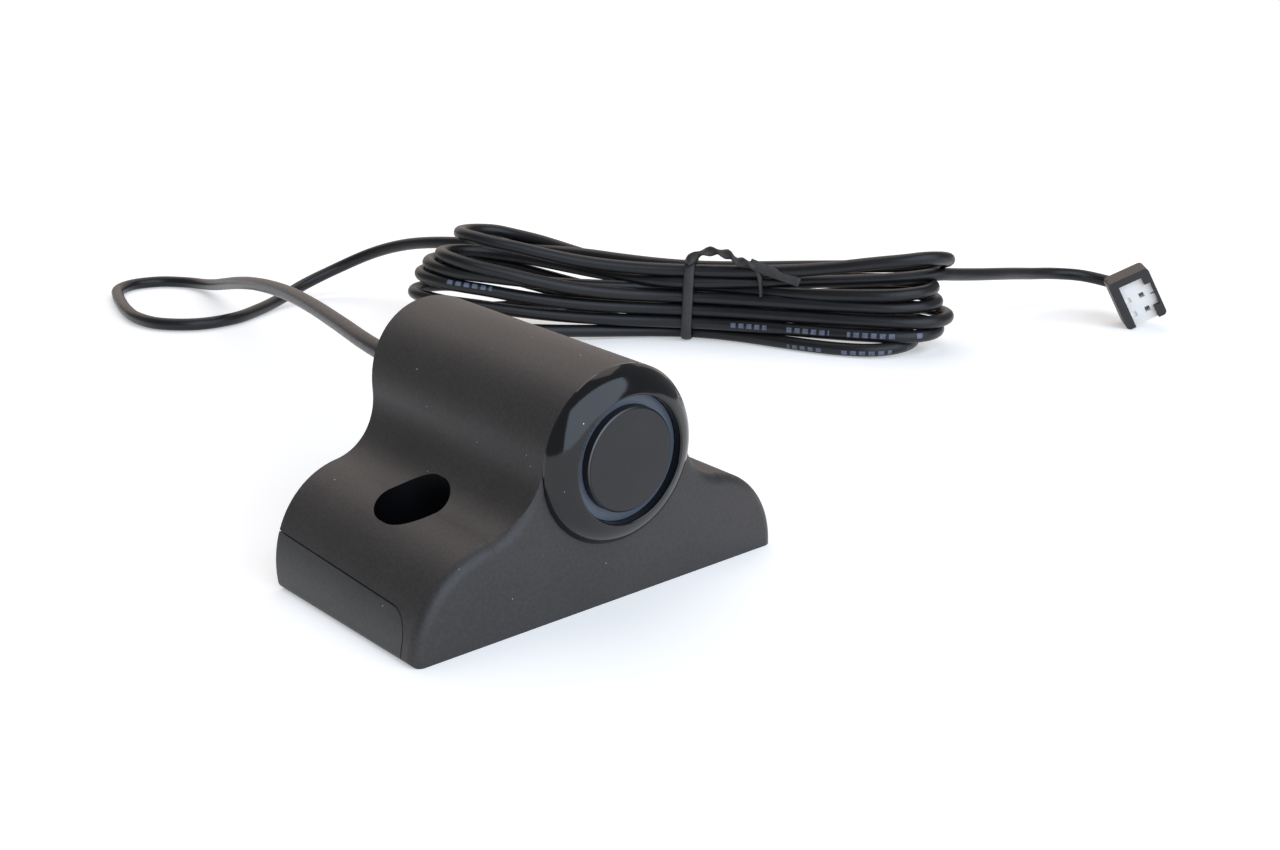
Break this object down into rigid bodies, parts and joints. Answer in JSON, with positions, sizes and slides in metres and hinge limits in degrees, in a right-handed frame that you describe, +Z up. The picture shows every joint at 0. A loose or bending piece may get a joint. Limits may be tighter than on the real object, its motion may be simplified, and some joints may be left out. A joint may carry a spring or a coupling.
{
  "type": "surface-mounted parking sensor",
  "caption": "Black bell-shaped parking sensor housing on a screwed base, with a round ultrasonic sensor in its hump and a tied hank of thin cable ending in a plug.",
  "frame": {"origin": "centre of the base's footprint, on the surface that the base is screwed to", "axes": "+X to the right along the front face, -Y is the front that the sensor looks out of, +Z up from the base"},
  "size_m": [0.241, 0.2489, 0.0349],
  "materials": {
    "housing_plastic": "matte, fine grain",
    "base_plastic": "matte, fine grain",
    "bezel_plastic": "polished",
    "cup_coat": "matte paint on aluminium",
    "soft_rubber": "matte",
    "ceramic": "fired ceramic",
    "pad_foam": "felt-like",
    "filler_silicone": "satin",
    "wire_coat": "satin",
    "board_laminate": "satin",
    "potting_resin": "cast resin",
    "core_insulation": "satin",
    "cable_sheath": "satin",
    "tie_plastic": "satin",
    "hood_plastic": "satin",
    "insert_plastic": "satin",
    "contact_brass": "dull tin plating"
  },
  "bodies": {
    "root": {"housing_cover": "housing_plastic", "housing_base": "base_plastic", "sensor_body": "bezel_plastic", "decoupling_sleeve": "soft_rubber", "transducer_cup": "cup_coat", "piezo_disc": "ceramic", "damping_pad": "pad_foam", "cup_filler": "filler_silicone", "lead_wires": "wire_coat", "terminal_board": "board_laminate", "potting_plug": "potting_resin", "cable_core": "core_insulation", "cable_inner": "cable_sheath", "cable_grommet": "soft_rubber", "cable_lead": "cable_sheath", "cable_hank": "cable_sheath", "twist_tie": "tie_plastic", "cable_tail": "cable_sheath", "plug_hood": "hood_plastic", "plug_insert": "insert_plastic", "plug_contacts": "contact_brass"}
  },
  "joints": []
}
